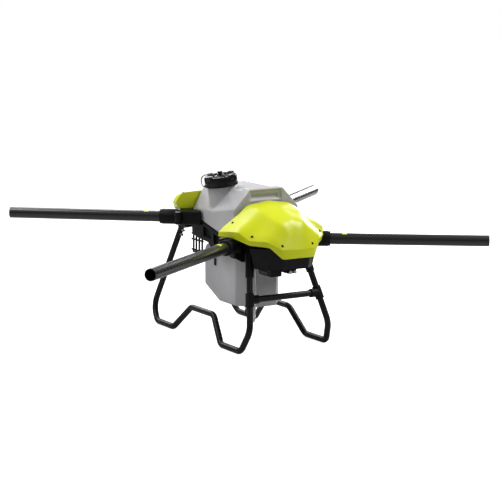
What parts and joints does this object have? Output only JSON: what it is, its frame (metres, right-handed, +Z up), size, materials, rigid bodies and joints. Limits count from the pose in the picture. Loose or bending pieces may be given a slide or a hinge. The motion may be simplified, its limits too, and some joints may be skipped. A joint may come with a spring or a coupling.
{
  "type": "agricultural spray drone airframe",
  "caption": "Folding four-arm airframe of a crop-spraying drone with a drop-in spray tank between its covers, on bent-tube landing gear.",
  "frame": {"origin": "on the ground under the middle of the outer box", "axes": "+Z up, -Y towards the nose, +X to the right as seen from the nose end, across the landing gear"},
  "size_m": [1.3572, 1.1175, 0.5947],
  "materials": {
    "carbon_tube": "woven carbon with a clear satin coat",
    "black_nylon": "satin moulded nylon",
    "black_metal": "satin black powder coat",
    "yellow_shell": "gloss yellow-green moulded plastic",
    "tank_plastic": "translucent natural polyethylene",
    "steel": "satin",
    "rubber_black": "matt",
    "hose": "clear flexible hose",
    "mark_yellow": "gloss",
    "circuit": "solder mask"
  },
  "bodies": {
    "frame": {"arm_bracket_front_left": "black_nylon", "arm_bracket_front_right": "black_nylon", "arm_bracket_rear_left": "black_nylon", "arm_bracket_rear_right": "black_nylon", "avionics_tray": "black_nylon", "battery_cage_floor": "black_nylon", "battery_cage_side_left": "black_nylon", "battery_cage_side_right": "black_nylon", "battery_connector": "black_nylon", "cross_tube": "black_metal", "cross_tube_tees": "black_nylon", "flight_controller": "black_nylon", "front_bulkhead": "black_nylon", "front_cover": "yellow_shell", "front_cover_screws": "steel", "front_leg_socket_left": "black_nylon", "front_leg_socket_right": "black_nylon", "front_lower_shell": "black_nylon", "hinge_pins": "steel", "landing_frame_left": "black_metal", "landing_frame_right": "black_metal", "leg_clamp_bolts": "steel", "power_board": "circuit", "pump_fittings": "steel", "pump_head": "black_nylon", "pump_motor": "black_metal", "quick_coupler": "black_nylon", "rear_bulkhead": "black_nylon", "rear_cover": "yellow_shell", "rear_cover_screws": "steel", "rear_leg_clamp_left": "black_nylon", "rear_leg_clamp_right": "black_nylon", "rear_shell": "black_nylon", "saddle_pads": "rubber_black", "side_beam_left": "black_nylon", "side_beam_right": "black_nylon", "suction_hose": "hose"},
    "tank_unit": {"tank": "tank_plastic", "tank_outlet": "black_nylon", "neck_ring": "black_nylon", "filler_strainer": "black_nylon"},
    "filler_cap": {"tank_cap": "black_nylon", "cap_seal": "rubber_black", "cap_vent_plug": "black_nylon"},
    "arm_front_left": {"arm_tube_front_left": "carbon_tube", "arm_flange_front_left": "black_metal", "arm_mark_front_left": "mark_yellow"},
    "sleeve_front_left": {"locking_sleeve_front_left": "black_metal"},
    "arm_front_right": {"arm_tube_front_right": "carbon_tube", "arm_flange_front_right": "black_metal", "arm_mark_front_right": "mark_yellow"},
    "sleeve_front_right": {"locking_sleeve_front_right": "black_metal"},
    "arm_rear_left": {"arm_tube_rear_left": "carbon_tube", "arm_flange_rear_left": "black_metal", "arm_mark_rear_left": "mark_yellow"},
    "sleeve_rear_left": {"locking_sleeve_rear_left": "black_metal"},
    "arm_rear_right": {"arm_tube_rear_right": "carbon_tube", "arm_flange_rear_right": "black_metal", "arm_mark_rear_right": "mark_yellow"},
    "sleeve_rear_right": {"locking_sleeve_rear_right": "black_metal"}
  },
  "joints": [
    {"name": "fold_front_left", "type": "hinge", "parent": "frame", "child": "arm_front_left", "pos_m": [-0.18015, -0.14895, 0.3639], "axis": [0, 0, -1], "range_deg": [0, 125.3]},
    {"name": "sleeve_slide_front_left", "type": "slide", "parent": "arm_front_left", "child": "sleeve_front_left", "axis": [-0.8161, -0.5779, 0], "range_m": [0, 0.04]},
    {"name": "fold_front_right", "type": "hinge", "parent": "frame", "child": "arm_front_right", "pos_m": [0.18015, -0.14895, 0.3639], "axis": [0, 0, 1], "range_deg": [0, 125.3]},
    {"name": "sleeve_slide_front_right", "type": "slide", "parent": "arm_front_right", "child": "sleeve_front_right", "axis": [0.8161, -0.5779, 0], "range_m": [0, 0.04]},
    {"name": "fold_rear_left", "type": "hinge", "parent": "frame", "child": "arm_rear_left", "pos_m": [-0.20972, 0.10927, 0.4248], "axis": [0, 0, 1], "range_deg": [0, 130.2]},
    {"name": "sleeve_slide_rear_left", "type": "slide", "parent": "arm_rear_left", "child": "sleeve_rear_left", "axis": [-0.7638, 0.6455, 0], "range_m": [0, 0.04]},
    {"name": "fold_rear_right", "type": "hinge", "parent": "frame", "child": "arm_rear_right", "pos_m": [0.20972, 0.10927, 0.4248], "axis": [0, 0, -1], "range_deg": [0, 130.2]},
    {"name": "sleeve_slide_rear_right", "type": "slide", "parent": "arm_rear_right", "child": "sleeve_rear_right", "axis": [0.7638, 0.6455, 0], "range_m": [0, 0.04]},
    {"name": "tank_lift", "type": "slide", "parent": "frame", "child": "tank_unit", "axis": [0, 0, 1], "range_m": [0, 0.32]},
    {"name": "cap_unscrew", "type": "hinge", "parent": "tank_unit", "child": "filler_cap", "pos_m": [-0.084, 0.02, 0.545], "axis": [-0.1392, 0, 0.9903], "range_deg": [0, 270]}
  ]
}
